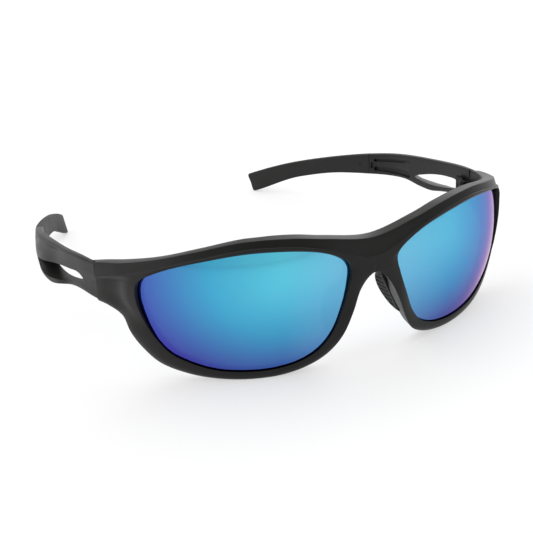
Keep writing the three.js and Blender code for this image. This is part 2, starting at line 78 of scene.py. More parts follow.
# ---------- curves ----------
def vec(*values):
    return np.array(values, float)


def spline(knots, steps, closed=False):
    """Centripetal Catmull-Rom curve through the knots, with equal steps in every span."""
    knots = np.asarray(knots, float)
    if closed:
        padded = [knots[-1], *knots, knots[0], knots[1]]
    else:
        padded = [2 * knots[0] - knots[1], *knots, 2 * knots[-1] - knots[-2]]
    share = (np.arange(steps) / steps)[:, None]
    points = []
    for p0, p1, p2, p3 in zip(padded, padded[1:], padded[2:], padded[3:]):
        d0, d1, d2 = (max(np.linalg.norm(b - a), 1e-9) ** 0.5 for a, b in ((p0, p1), (p1, p2), (p2, p3)))
        leave = d1 * ((p1 - p0) / d0 - (p2 - p0) / (d0 + d1) + (p2 - p1) / d1)
        arrive = d1 * ((p2 - p1) / d1 - (p3 - p1) / (d1 + d2) + (p3 - p2) / d2)
        cubic = 2 * p1 - 2 * p2 + leave + arrive
        square = -3 * p1 + 3 * p2 - 2 * leave - arrive
        points.append(p1 + leave * share + square * share ** 2 + cubic * share ** 3)
    if not closed:
        points.append(knots[-1:])
    return np.vstack(points)


def profile(*pairs):
    """Smooth function of one variable through (input, value) pairs."""
    samples = spline(pairs, 40)
    return lambda u: np.interp(u, samples[:, 0], samples[:, 1])


def smoothstep(u, low, high):
    share = np.clip((u - low) / (high - low), 0, 1)
    return share * share * (3 - 2 * share)


def unit(vectors):
    return vectors / np.linalg.norm(vectors, axis=-1, keepdims=True)


# ---------- meshes ----------
def band(near, far, count, closed=True):
    """Quads between two rows of points that start at indices near and far."""
    last = count if closed else count - 1
    return [(near + i, near + (i + 1) % count, far + (i + 1) % count, far + i) for i in range(last)]


def loft(rings):
    """Closed surface through rings of equal length, with a fan at each end."""
    width = len(rings[0])
    points = [point for ring in rings for point in ring]
    faces = []
    for row in range(len(rings) - 1):
        faces += band(row * width, (row + 1) * width, width)
    for ring, start, flip in ((rings[0], 0, True), (rings[-1], (len(rings) - 1) * width, False)):
        points.append(np.mean(ring, axis=0))
        for i in range(width):
            edge = (start + i, start + (i + 1) % width)
            faces.append((*(edge[::-1] if flip else edge), len(points) - 1))
    return np.array(points), faces


def new_object(name, points, faces, right=True):
    """An object from design points; a left one is mirrored. Its faces are made to point out."""
    points = np.array(points, float)
    if name.endswith("_fine"):
        points = np.clip(points, BOX_LOW + INSET, BOX_HIGH - INSET)
    if not right:
        points = points * (-1, 1, 1)
    mesh = bpy.data.meshes.new(name)
    mesh.from_pydata((points + SHIFT) * MM, [], faces)
    mesh.validate()
    tidy_mesh(mesh)
    piece = bpy.data.objects.new(name, mesh)
    bpy.context.scene.collection.objects.link(piece)
    return piece


def tidy_mesh(mesh, merge=2e-7):
    work = bmesh.new()
    work.from_mesh(mesh)
    bmesh.ops.remove_doubles(work, verts=work.verts, dist=merge)
    bmesh.ops.dissolve_degenerate(work, edges=work.edges, dist=merge)
    bmesh.ops.holes_fill(work, edges=[edge for edge in work.edges if edge.is_boundary])
    bmesh.ops.recalc_face_normals(work, faces=work.faces)
    if work.calc_volume(signed=True) < 0:
        bmesh.ops.reverse_faces(work, faces=work.faces)
    work.to_mesh(mesh)
    work.free()


def apply_modifiers(piece):
    mesh = bpy.data.meshes.new_from_object(piece.evaluated_get(bpy.context.evaluated_depsgraph_get()))
    piece.modifiers.clear()
    piece.data = mesh


def combine(piece, others, operation="DIFFERENCE"):
    """Cuts the others out of the piece, or joins them to it, and removes them."""
    for other in others:
        step = piece.modifiers.new("combine", "BOOLEAN")
        step.object = other
        step.operation = operation
        step.solver = "EXACT"
    apply_modifiers(piece)
    for other in others:
        bpy.data.objects.remove(other)


def soften(piece, width, angle=35, segments=2):
    """Rounds every edge sharper than the angle."""
    step = piece.modifiers.new("soften", "BEVEL")
    step.width = width * MM
    step.segments = segments
    step.limit_method = "ANGLE"
    step.angle_limit = math.radians(angle)
    step.use_clamp_overlap = True
    apply_modifiers(piece)


def block(low, high, right=True, turn=0, at=(0, 0, 0)):
    """A box between two corners, turned about Z and moved."""
    low, high = np.array(low, float), np.array(high, float)
    corners = np.array([(x, y, z) for x in (0, 1) for y in (0, 1) for z in (0, 1)])
    points = low + corners * (high - low)
    cos, sin = math.cos(turn), math.sin(turn)
    points = points @ np.array([[cos, sin, 0], [-sin, cos, 0], [0, 0, 1]]) + at
    faces = [(0, 1, 3, 2), (4, 6, 7, 5), (0, 4, 5, 1), (2, 3, 7, 6), (0, 2, 6, 4), (1, 5, 7, 3)]
    return new_object("block", points, faces, right)


# ---------- lens sphere ----------
WRAP_RADIUS = 61.0
WRAP_CENTRE = vec(-15, 14.5, -7)
LENS_FRONT = 59.9
LENS_THICKNESS = 1.8
LENS_SEAT = 0.9
GROOVE_DEPTH = LENS_SEAT + GAP
REAR_LIP = 1.0


def wrap(arc, z, proud=0.0):
    """A point near the lens sphere: arc length around it, height, and distance proud of it."""
    reach = np.sqrt((WRAP_RADIUS + proud) ** 2 - (z - WRAP_CENTRE[2]) ** 2)
    turn = arc / WRAP_RADIUS
    return np.stack([WRAP_CENTRE[0] - reach * np.sin(turn), WRAP_CENTRE[1] - reach * np.cos(turn),
                     z + 0 * turn], axis=-1)


# ---------- nose pads ----------
PAD = {"root": 0.3, "depth": 8.0, "height": 15.8, "thick": 2.2}
PAD_ARM = {"root": -1.3, "depth": 4.6, "height": 10.0, "thick": 0.8}
PAD_ORIGIN = vec(-9.6, -40.6, -15.3)
PAD_AXES = unit(np.array([(-0.02, 1, -0.03), (0.38, 0.03, 0.925), (0.926, 0.007, -0.38)]))
PAD_GAP = 0.08                   # the soft pad sits close in its seat
PAD_ROUND = 0.95                 # how far from its edge the pad is rounded
PAD_COLUMNS = 97
PAD_ROWS = 41
PAD_CROWDING = 0.8               # below 1 the rows of the pad lie closer together at its edge
RIB_PITCH = 1.7
RIB_DEPTH = 0.6
RIB_LEAN = 0.1                   # how much the ribs rise along the depth
RIB_BORDER = (0.9, 1.2)          # distance from the edge where the ribs begin and are full
ELLIPSE_POINTS = 41


def half_ellipse(name, spec, right, grow=0.0):
    """A flat plate, round along its depth, with its straight side at the root."""
    angles = np.linspace(-math.pi / 2, math.pi / 2, ELLIPSE_POINTS)
    depth = spec["root"] - grow + (spec["depth"] - spec["root"] + 2 * grow) * np.cos(angles)
    height = (spec["height"] / 2 + grow) * np.sin(angles)
    half = spec["thick"] / 2 + grow
    rings = [np.stack([depth, height, np.full(ELLIPSE_POINTS, lift)], axis=1) @ PAD_AXES + PAD_ORIGIN
             for lift in (-half, half)]
    return new_object(name, *loft(rings), right)


def nose_pad(side):
    """A half ellipse, rounded all round, with ribs inside a smooth border on the nose side."""
    right = side == "right"
    angles = np.linspace(-math.pi / 2, math.pi / 2, PAD_COLUMNS)
    shares = np.linspace(0, 1, PAD_ROWS) ** PAD_CROWDING
    reach = PAD["depth"] - PAD["root"]

    def sheet(face):
        rows = []
        for share in shares:
            depth = PAD["root"] + reach * np.cos(angles) * share
            height = PAD["height"] / 2 * np.sin(angles) * share
            radius = np.hypot(reach * np.cos(angles), PAD["height"] / 2 * np.sin(angles))
            inside = (1 - share) * radius
            round_off = np.clip(1 - np.minimum(inside / PAD_ROUND, 1), 0, 1) ** 2
            crown = PAD["thick"] / 2 * np.sqrt(1 - round_off)
            wave = 0.5 + 0.5 * np.cos(2 * math.pi * (height + RIB_LEAN * depth) / RIB_PITCH)
            border = np.minimum(inside, depth - PAD["root"])
            groove = RIB_DEPTH * wave ** 2 * smoothstep(border, *RIB_BORDER)
            lift = face * crown - (groove if face > 0 else 0)
            rows.append(np.stack([depth, height, lift], axis=1) @ PAD_AXES + PAD_ORIGIN)
        return rows

    upper, lower = sheet(1), sheet(-1)
    count = len(angles)
    faces = []
    for row in range(len(shares) - 1):
        faces += band(row * count, (row + 1) * count, count, closed=False)
        start = (len(shares) + row) * count
        faces += [quad[::-1] for quad in band(start, start + count, count, closed=False)]
    piece = new_object(f"nose_pad_{side}_fine", np.vstack(upper + lower), faces, right)
    combine(piece, [half_ellipse("pad_arm_room", PAD_ARM, right, PAD_GAP)])
    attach(piece, "front")
    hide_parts(f"nose_pad_{side}")
    return piece


# ---------- front frame ----------
SEAM_OUTER = -3.3                # y of the visible seam on the outer side
SEAM_INNER = 0.4                 # y of the seam on the inner side
SEAM_LAP = 69.6                  # distance of the overlap between temple and front from x = 0
STEPS = 8                        # columns between two control sections
LEAF_BOTTOM = -10.5
LEAF_THICK = 0.9
FRONT_LEAF = {"low": -8, "high": 0, "turn": 0.36, "at": (-68.1, -1.4, 0)}
TEMPLE_LEAF = {"low": 0, "high": 4, "turn": 0.09, "at": (-68.85, 3, 0)}
NECK = (-68.6, -2.1), (-67.2, 0.6)    # x and y of the room between the front leaf and its knuckles


def leaf_pocket(leaf, right):
    """Room for a hinge leaf, larger by the gap than the leaf."""
    low = (-GAP, leaf["low"] - GAP, LEAF_BOTTOM - GAP)
    high = (LEAF_THICK + GAP, leaf["high"] + GAP, PIN_TOP + GAP)
    return block(low, high, right, leaf["turn"], leaf["at"])


SWELL = (0.5, 0.6)               # how far the face bulges, and at which share of its width
NOSE_SWELL = (0.25, 0.5)
LIP = 0.45                       # how far the edge of the opening stands proud of the lens
BROW_LIP = 1.9


def section(edge, front, back, crest=None, top=None, swell=SWELL, lip=None):
    """One control section of the front. edge is (arc, height) of the opening, front the outer
    edge of the face, back the rear outer edge; crest and top are the edges of the brow's top."""
    if lip is None:
        lip = LIP if crest is None else BROW_LIP
    return {"edge": vec(*edge), "front": vec(*front), "back": vec(*back),
            "crest": None if crest is None else vec(*crest), "top": None if top is None else vec(*top),
            "swell": swell, "lip": lip}


BROW = [
    section((-6.2, 0.6), (0, -46.5, 0.7), (0, -40.8, 0.7), (0, -45.6, 6), (0, -42.6, 6.4)),
    section((0.8, 4.7), (-15.5, -46.3, 6), wrap(0.4, 6.6, -4.8), (-15.5, -45.4, 8.9), (-15, -42.4, 9.1)),
    section((10, 7.1), (-25, -44.9, 8.5), wrap(9.6, 8.9, -4.8), (-25, -43.9, 10.7), (-24, -41, 10.9)),
    section((24, 8.1), (-38, -40.9, 9.5), wrap(24, 9.9, -4.8), (-38.2, -39.8, 11.4), (-36.8, -37.1, 11.4)),
    section((37, 6.6), (-50, -34.6, 7.5), wrap(37.2, 8.5, -4.8), (-50.2, -33.3, 9.2), (-48, -31.3, 9.3)),
    section((47.1, 4.3), (-59, -26.8, 4.6), wrap(47.6, 6.2, -4.8), (-59.3, -25.3, 6.5), (-56.6, -23.9, 6.6)),
    section((54.2, 1.5), (-66.2, -15.5, 0.6), (-61.9, -13.5, 0), (-66.2, -14, 3.4), (-63, -12.9, 3.6)),
    section((56.2, 0.3), (-69.2, -7.6, -1.9), (-66.4, -6.6, -2.2), (-69, -6.6, 1.9), (-66.6, -5.9, 2.1)),
    section((57.3, -1), (-71.6, SEAM_INNER, -4), (-69, SEAM_INNER, -4), (-71.5, SEAM_INNER, 0.2),
            (-69.5, SEAM_INNER, 0.5)),
]
SEAM = [
    BROW[-1],
    section((57.9, -3.5), (-71.6, SEAM_INNER, -7.6), (-69, SEAM_INNER, -7.6), lip=1.7),
    section((57.8, -6.6), (-71.4, SEAM_INNER, -11.2), (-69, SEAM_INNER, -11), lip=1.5),
]
LOWER = [
    SEAM[-1],
    section((57.3, -9), (-68.6, -7.9, -11.6), (-66.2, -7.4, -11.2), lip=1.35),
    section((56.4, -12), (-66.6, -13.2, -13.4), (-63.6, -12.2, -12.8), lip=1.1),
    section((55, -15.8), wrap(62.6, -17.6, -0.6), wrap(62, -17, -4.6), lip=0.8),
    section((53.2, -19.4), wrap(59.6, -22.6, -0.6), wrap(58.8, -22, -4.6)),
    section((50, -23.4), wrap(54.8, -27.6, -0.6), wrap(54, -27, -4.6)),
    section((44.4, -26.5), wrap(46.8, -30.7, -0.6), wrap(46.3, -30.2, -4.6)),
    section((36.6, -29.2), wrap(38, -32.5, -0.6), wrap(37.7, -32.2, -4.6)),
    section((27, -30.4), wrap(27.3, -33.5, -0.6), wrap(27.3, -33.4, -4.6)),
    section((17.6, -30.5), wrap(16.7, -33.5, -0.6), wrap(16.9, -33.3, -4.6)),
    section((9, -29), wrap(7.4, -32, -0.6), wrap(7.8, -31.7, -4.6)),
    section((2.8, -25.9), wrap(0.4, -28.6, -0.2), wrap(0.9, -28, -4.4), lip=0.6),
    section((-1.2, -20.8), wrap(-4, -22.6, 0.7), wrap(-3.6, -22, -4.9), swell=NOSE_SWELL, lip=0.6),
    section((-4, -13.8), wrap(-7, -15.1, 0.9), wrap(-7.2, -15, -4.9), swell=NOSE_SWELL, lip=0.7),
    section((-5.8, -8.4), wrap(-9.7, -9.2, 0.5), wrap(-9.3, -9, -4.9), swell=NOSE_SWELL, lip=0.9),
    section((-6.6, -5.6), (-2.6, -46.3, -5.9), (-2.8, -41.4, -5.9), lip=1.1),
    section((-7.1, -3.6), (0, -46.4, -4.6), (0, -41, -5), lip=1.2),
]
BRIDGE = [
    LOWER[-1],
    section((-7.1, -1.6), (0, -46.6, -1.9), (0, -40.6, -2.2), lip=1.2),
    BROW[0],
]
PIECES = [BROW, SEAM, LOWER, BRIDGE]


def column(piece, key, with_end=False):
    """One column curve of a piece. Where it ends on the middle plane it runs on as its mirror
    image, so that the two halves join smoothly."""
    knots = [item[key] for item in piece]
    on_plane = all(knot[0] == 0 for knot in knots)
    lead = not on_plane and knots[0][0] == 0
    tail = not on_plane and knots[-1][0] == 0
    if lead:
        knots.insert(0, knots[1] * (-1, 1, 1))
    if tail:
        knots.append(knots[-2] * (-1, 1, 1))
    points = spline(knots, STEPS)
    last = len(points) - STEPS * tail
    return points[STEPS * lead:last if with_end else last - 1]


def opening_outline():
    knots = [item["edge"] for piece in PIECES for item in piece[:-1]]
    return spline(knots, STEPS, closed=True)


def opening_ring(outline, outward, radius):
    """The opening outline moved outwards by a distance, at a radius of the sphere."""
    along = unit(np.roll(outline, -1, axis=0) - np.roll(outline, 1, axis=0))
    return wrap(outline[:, 0] - along[:, 1] * outward, outline[:, 1] + along[:, 0] * outward,
                radius - WRAP_RADIUS)


def per_column(value):
    """A section's number, changing evenly from one section to the next."""
    values = []
    for piece in PIECES:
        for one, two in zip(piece, piece[1:]):
            values += list(np.linspace(value(one), value(two), STEPS, endpoint=False))
    return np.array(values)


CREASE = profile((-20, 2.2), (-15.5, 0.6), (-7.6, -1.9), (0.4, -4), (8, -5), (14, -5.4))
LOWER_EDGE = profile((-20, -16.4), (-13.2, -13.4), (-7.9, -11.6), (0.4, -11.2), (14, -11.4))


HOLLOW = 1.15                    # deepest hollow of the end-piece
SEAM_HOLLOW = 0.35               # what is left of it from the seam to the window


def hollow(y, z):
    """How deep the side is hollowed between the crease under the brow and its lower edge."""
    level = (z - LOWER_EDGE(y)) / (CREASE(y) - LOWER_EDGE(y))
    across = smoothstep(level, 0, 0.5) * (1 - smoothstep(level, 0.88, 1))
    rise = HOLLOW * smoothstep(y, -21, -12)
    fall = (HOLLOW - SEAM_HOLLOW) * smoothstep(y, -11, SEAM_OUTER) + SEAM_HOLLOW * smoothstep(y, 2, 10)
    return across * (rise - fall)


FACE_SHARES = (0.05, 0.12, 0.2, 0.3, 0.42, 0.54, 0.66, 0.78, 0.88, 0.95)
BRIDGE_BLEND = (0.5, 7.0)        # x where the flat face of the bridge ends and the bulge is full
SIDE_START = 55                  # x beyond which the side is hollowed
RIM_SHARE = 0.2                  # share of the face next to the lens that stays unhollowed


def face_rows(edge, front):
    """Rows of the front face between the opening and the outer edge."""
    height = per_column(lambda item: item["swell"][0])[:, None]
    peak = per_column(lambda item: item["swell"][1])[:, None]
    bridge = (1 - smoothstep(np.abs(front[:, 0]), *BRIDGE_BLEND))[:, None]
    rows = []
    for share in FACE_SHARES:
        middle = edge + (front - edge) * share
        normal = unit(middle - WRAP_CENTRE)
        along = np.where(share < peak, share / peak, (1 - share) / (1 - peak))
        rise = along * (2 - along)
        side = (np.abs(middle[:, 0]) > SIDE_START) & (share > RIM_SHARE)
        dip = np.where(side, hollow(middle[:, 1], middle[:, 2]), 0)[:, None]
        lean = np.sum((front - edge) * unit(front - WRAP_CENTRE), axis=1)[:, None]
        smooth = lean * share * (1 - share)
        rows.append(middle + normal * ((1 - bridge) * (height * rise - dip) + bridge * smooth))
    return rows


def between(one, two, shares):
    """Rows on the straight way from one row to another."""
    return [one + (two - one) * share for share in shares]


def half_front():
    outline = opening_outline()
    count = len(outline)
    edge = opening_ring(outline, 0, LENS_FRONT + per_column(lambda item: item["lip"]))
    front = np.vstack([column(piece, "front") for piece in PIECES])
    back = np.vstack([column(piece, "back") for piece in PIECES])
    crest = column(BROW, "crest", with_end=True)
    top = column(BROW, "top", with_end=True)
    brow_count = len(crest)
    crest_row = front + (back - front) / 3
    top_row = front + (back - front) * 2 / 3
    crest_row[:brow_count] = crest
    top_row[:brow_count] = top
    groove_front = LENS_FRONT + GAP
    groove_back = LENS_FRONT - LENS_THICKNESS - GAP
    rear_edge = opening_ring(outline, 0, groove_back - REAR_LIP)
    rows = [edge, *face_rows(edge, front), front]
    open_from = len(rows) - 1
    rows += [*between(front, crest_row, (0.5,)), crest_row, *between(crest_row, top_row, (0.5,)), top_row]
    rows += [*between(top_row, back, (0.33, 0.67)), back]
    open_to = len(rows) - 1
    rows += [
        *between(back, rear_edge, (0.2, 0.4, 0.6, 0.8)),
        rear_edge,
        opening_ring(outline, 0, groove_back),
        opening_ring(outline, GROOVE_DEPTH, groove_back),
        opening_ring(outline, GROOVE_DEPTH, groove_front),
        opening_ring(outline, 0, groove_front),
    ]
    bridge_start = count - (len(BRIDGE) - 1) * STEPS
    faces = []
    for row in range(len(rows)):
        following = (row + 1) % len(rows)
        quads = band(row * count, following * count, count)
        if open_from <= row < open_to:
            quads = quads[:bridge_start]
        faces += quads
    return np.vstack(rows), faces


FRONT_ROUNDING = 0.32


def front_frame():
    points, faces = half_front()
    count = len(points)
    points = np.vstack([points, points * (-1, 1, 1)])
    faces = faces + [tuple(count + i for i in reversed(face)) for face in faces]
    piece = new_object("front_frame_fine", points, faces)
    soften(piece, FRONT_ROUNDING, angle=30, segments=3)
    cuts = []
    for right in (True, False):
        cuts.append(block((-FAR, SEAM_OUTER, -FAR), (-SEAM_LAP, FAR, FAR), right))
        cuts.append(leaf_pocket(FRONT_LEAF, right))
        cuts.append(block((*NECK[0], LEAF_BOTTOM - GAP), (*NECK[1], PIN_TOP + GAP), right))
        cuts.append(half_ellipse("pad_room", PAD, right, PAD_GAP))
    combine(piece, cuts)
    combine(piece, [half_ellipse("pad_arm", PAD_ARM, right) for right in (True, False)], "UNION")
    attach(piece, "front")
    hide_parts("front_frame")
    return piece


# ---------- lenses ----------
LENS_HEART = vec(25, -11)        # arc and height that the rings of a lens shrink towards
LENS_SHARES = (1, 0.985, 0.955, 0.9, 0.8, 0.68, 0.56, 0.44, 0.32, 0.2, 0.08)


def lens(side):
    right = side == "right"
    outline = opening_outline()
    lens_back = LENS_FRONT - LENS_THICKNESS

    def face(radius):
        return [opening_ring(LENS_HEART + (outline - LENS_HEART) * share, LENS_SEAT * share, radius)
                for share in LENS_SHARES]

    points, faces = loft([*face(LENS_FRONT)[::-1], *face(lens_back)])
    points[-2] = wrap(*LENS_HEART, LENS_FRONT - WRAP_RADIUS)
    points[-1] = wrap(*LENS_HEART, lens_back - WRAP_RADIUS)
    piece = new_object(f"lens_{side}_fine", points, faces, right)
    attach(piece, "front")
    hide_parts(f"lens_{side}")
    return piece


# ---------- temples ----------
TIP_START = 62.0
TEMPLE_END = 124.0
INNER = profile((-4, 69), (0, 69.2), (8, 69.9), (20, 70.7), (38, 70.6), (50, 69.8), (62, 67), (76, 62),
                (92, 55.6), (108, 49), (126, 41.6))
TOP = profile((-4, 1), (8, 0), (20, -1.5), (40, -4.1), (60, -7.6), (80, -12.2), (100, -17.9), (112, -22.2),
              (126, -28))
BOTTOM = profile((-4, -11.1), (8, -11.2), (14, -11.8), (20, -13), (26, -14.3), (33, -14.5), (42, -13.9),
                 (52, -14.8), (62, -16.2), (80, -19), (96, -23.4), (110, -28.3), (126, -34.5))
THICK_TOP = profile((-4, 1.2), (1, 1.7), (8, 2.1), (30, 2.2), (48, 2.6), (62, 2.6), (126, 2.4))
THICK_MIDDLE = profile((-4, 1.4), (1, 2), (10, 2.4), (24, 3.4), (34, 5), (42, 4.8), (52, 3.6), (62, 3.1),
                       (126, 2.6))
THICK_BOTTOM = profile((-4, 1.1), (1, 1.8), (10, 2.2), (16, 2.8), (22, 4.8), (30, 5.6), (37, 5.4), (46, 4),
                       (56, 3), (62, 2.8), (126, 2.4))
MIDDLE_LEVEL = 0.55              # height share of the widest level, from the top
END_SLANT = 5.0                  # how much further back the top of the end is
SLANT_START = 96.0               # y where the sections begin to lean
TABLE = -33.5
TEMPLE_EDGE = 0.75               # rounding of the long edges
SIDE_ROUND = 2.2                 # rounding of the widest level
SIDE_PARTS = 6                   # parts that each straight side of a section is split into
SIDE_DEPTH = 0.8                 # points further out than this belong to the outer face


def temple_point(y, depth, z):
    """A point of the temple section at y; depth is measured outwards from the inner face."""
    slope = INNER(y + 0.5) - INNER(y - 0.5)
    length = math.hypot(1, slope)
    height = (z - TOP(y)) / (TOP(y) - BOTTOM(y))
    slant = END_SLANT * height * smoothstep(y, SLANT_START, TEMPLE_END)
    return vec(-INNER(y) - depth / length, y + slant - depth * slope / length, z)


ARC_POINTS = 5                   # points of each rounded corner


def rounded(corners, radii):
    """A closed outline with each corner replaced by a parabola of the given reach."""
    outline = []
    for i, (corner, radius) in enumerate(zip(corners, radii)):
        arms = []
        for other in (corners[i - 1], corners[(i + 1) % len(corners)]):
            length = np.linalg.norm(other - corner)
            arms.append(corner + (other - corner) * min(radius / length, 0.48))
        for share in np.linspace(0, 1, ARC_POINTS):
            outline.append((1 - share) ** 2 * arms[0] + 2 * share * (1 - share) * corner
                           + share ** 2 * arms[1])
    return outline


def temple_section(y):
    top, bottom = TOP(y), BOTTOM(y)
    middle = top + (bottom - top) * MIDDLE_LEVEL
    corners = [vec(0, top), vec(THICK_TOP(y), top), vec(THICK_MIDDLE(y), middle),
               vec(THICK_BOTTOM(y), bottom), vec(0, bottom)]
    outline = rounded(corners, [TEMPLE_EDGE, TEMPLE_EDGE, SIDE_ROUND, TEMPLE_EDGE, TEMPLE_EDGE])
    points = []
    for i, (depth, z) in enumerate(outline):
        next_depth, next_z = outline[(i + 1) % len(outline)]
        parts = SIDE_PARTS if i % ARC_POINTS == ARC_POINTS - 1 else 1
        for share in np.linspace(0, 1, parts, endpoint=False):
            level = z + (next_z - z) * share
            out = depth + (next_depth - depth) * share
            points.append(temple_point(y, out - (hollow(y, level) if out > SIDE_DEPTH else 0), level))
    return points


ROUNDING_ANGLES = (0.35, 0.7, 1.05, 1.35)


def temple_bar(name, start, end, right, round_end=0.0):
    """A stretch of the temple with a section about every millimetre; its end can be rounded."""
    stations = np.linspace(start, end, math.ceil(end - start) + 1)
    rings = [np.array(temple_section(y)) for y in stations]
    if round_end:
        last = rings[-1]
        middle = last.mean(axis=0)
        along = unit(rings[-1].mean(axis=0) - rings[-2].mean(axis=0))
        for angle in ROUNDING_ANGLES:
            inward = 1 - math.cos(angle)
            spread = last - middle
            size = np.linalg.norm(spread, axis=1, keepdims=True)
            rings.append(last - spread / size * np.minimum(inward * round_end, size * 0.8)
                         + along * math.sin(angle) * round_end)
    return new_object(name, *loft(rings), right)


def follower(start, end, depth, high, low, right):
    """A bar that follows the temple, let into its inner face; its heights are functions of y."""
    stations = np.linspace(start, end, math.ceil(end - start) + 1)
    rings = [[temple_point(y, -1, high(y)), temple_point(y, depth, high(y)),
              temple_point(y, depth, low(y)), temple_point(y, -1, low(y))] for y in stations]
    return new_object("follower", *loft(rings), right)


SLOT_END = 59.5
TOP_SLOT = {"start": 37, "depth": 1.0, "margin": 1.9, "height": 1.15}
LOW_SLOT = {"start": 38.5, "depth": 1.1, "middle": 2.4, "half": 1.3, "round": 2.05}


def top_slot_low(y):
    """Lower side of the upper slot, which widens backwards from a point."""
    return TOP(y) - TOP_SLOT["margin"] - TOP_SLOT["height"] * smoothstep(y, TOP_SLOT["start"] - 0.4, 44)


def low_slot_half(y):
    """Half the height of the lower slot: a round front end, then slowly narrower."""
    before = max((LOW_SLOT["start"] + 2 - y) / LOW_SLOT["round"], 0)
    round_end = math.sqrt(max(1 - before ** 2, 0.001))
    return LOW_SLOT["half"] * round_end - 0.5 * smoothstep(y, 46, 60)


WINDOW_INNER = [(7, -7.6), (10, -5.6), (15, -5.6), (20, -6.4), (27, -8.4), (33, -11), (30, -11.3),
                (25, -11.4), (19, -10.7), (12, -9.2)]
WINDOW_OUTER = [(1.5, -7.8), (5, -5.6), (14, -6.4), (24, -7.6), (34, -9.4), (43, -11.6), (39, -13),
                (30, -13), (20, -11.7), (9, -9.6)]
WINDOW_INNER_X = -69.0
WINDOW_OUTER_X = -75.0


def window(right):
    inner, outer = (spline([(x, y, z) for y, z in outline], 6, closed=True)
                    for outline, x in ((WINDOW_INNER, WINDOW_INNER_X), (WINDOW_OUTER, WINDOW_OUTER_X)))
    rings = [inner + (outer - inner) * share for share in (-0.4, 0, 1, 1.5)]
    return new_object("window", *loft(rings), right)


def surface_depth(y, z):
    """Depth of the outer face of the temple at a height above its widest level."""
    top, bottom = TOP(y), BOTTOM(y)
    middle = top + (bottom - top) * MIDDLE_LEVEL
    share = (top - z) / (top - middle)
    return THICK_TOP(y) + (THICK_MIDDLE(y) - THICK_TOP(y)) * share


FACET = {"start": 20, "end": 58, "tall": 3.0, "deep": 0.75, "margin": 0.95}


def facet(right):
    """The wedge let into the outer face, deepest under the top strip."""
    length = FACET["end"] - FACET["start"]
    rings = []
    for y in np.linspace(FACET["start"], FACET["end"], length + 1):
        share = (y - FACET["start"]) / length
        tall = 0.15 + FACET["tall"] * smoothstep(share, 0, 0.62) * (1 - smoothstep(share, 0.86, 1.02))
        deep = FACET["deep"] * smoothstep(share, 0, 0.3) * (1 - smoothstep(share, 0.9, 1.02)) + 0.01
        high = TOP(y) - FACET["margin"]
        low = high - tall
        rings.append([temple_point(y, surface_depth(y, high) - deep, high - 0.12 * tall),
                      temple_point(y, surface_depth(y, high) + 2, high + 0.3),
                      temple_point(y, surface_depth(y, low) + 2, low),
                      temple_point(y, surface_depth(y, low) - 0.02, low)])
    return new_object("facet", *loft(rings), right)


RECESS = {"span": (57.6, 61.2), "depth": 0.5, "from_top": 3.3, "from_bottom": 2.6}


def temple(side):
    right = side == "right"
    piece = temple_bar(f"temple_{side}_fine", SEAM_OUTER + GAP, TIP_START, right)
    lap = block((-SEAM_LAP - GAP, -FAR, -FAR), (0, SEAM_INNER + GAP, FAR), right)
    slot_top = follower(TOP_SLOT["start"], SLOT_END, TOP_SLOT["depth"],
                        lambda y: TOP(y) - TOP_SLOT["margin"], top_slot_low, right)
    slot_low = follower(LOW_SLOT["start"], SLOT_END, LOW_SLOT["depth"],
                        lambda y: BOTTOM(y) + LOW_SLOT["middle"] + low_slot_half(y),
                        lambda y: BOTTOM(y) + LOW_SLOT["middle"] - low_slot_half(y), right)
    box = follower(*RECESS["span"], RECESS["depth"], lambda y: TOP(y) - RECESS["from_top"],
                   lambda y: BOTTOM(y) + RECESS["from_bottom"], right)
    pocket = leaf_pocket(TEMPLE_LEAF, right)
    combine(piece, [window(right), lap, pocket, facet(right), slot_top, slot_low, box])
    soften(piece, 0.12, angle=40)
    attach(piece, f"temple_arm_{side}")
    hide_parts(f"temple_{side}")
    return piece


DIMPLE_AT = (66.5, -12.8)        # y and z of its middle
DIMPLE = ((0.28, 0.35), (0.2, 0.6), (0, 0.78), (-0.3, 0.9))    # depth and radius of its rings
END_ROUNDING = 0.7


def dimple(right):
    """A shallow round mark in the inner face of the tip, just behind the joint."""
    turns = np.linspace(0, 2 * math.pi, 24, endpoint=False)
    y, z = DIMPLE_AT
    rings = [[temple_point(y + radius * math.cos(turn), depth, z + radius * math.sin(turn)) for turn in turns]
             for depth, radius in DIMPLE]
    return new_object("dimple", *loft(rings), right)


def temple_tip(side):
    right = side == "right"
    end = TEMPLE_END - END_ROUNDING
    piece = temple_bar(f"temple_tip_{side}_fine", TIP_START + GAP, end, right, END_ROUNDING)
    below_table = block((-FAR, -FAR, -FAR), (FAR, 2 * FAR, TABLE), right)
    combine(piece, [below_table, dimple(right)])
    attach(piece, f"temple_arm_{side}")
    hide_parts(f"temple_tip_{side}")
    return piece


SIDES = ("right", "left")
frame_piece = front_frame()
lens_pieces = [lens(side) for side in SIDES]
pad_pieces = [nose_pad(side) for side in SIDES]
temple_pieces = [temple(side) for side in SIDES]
tip_pieces = [temple_tip(side) for side in SIDES]


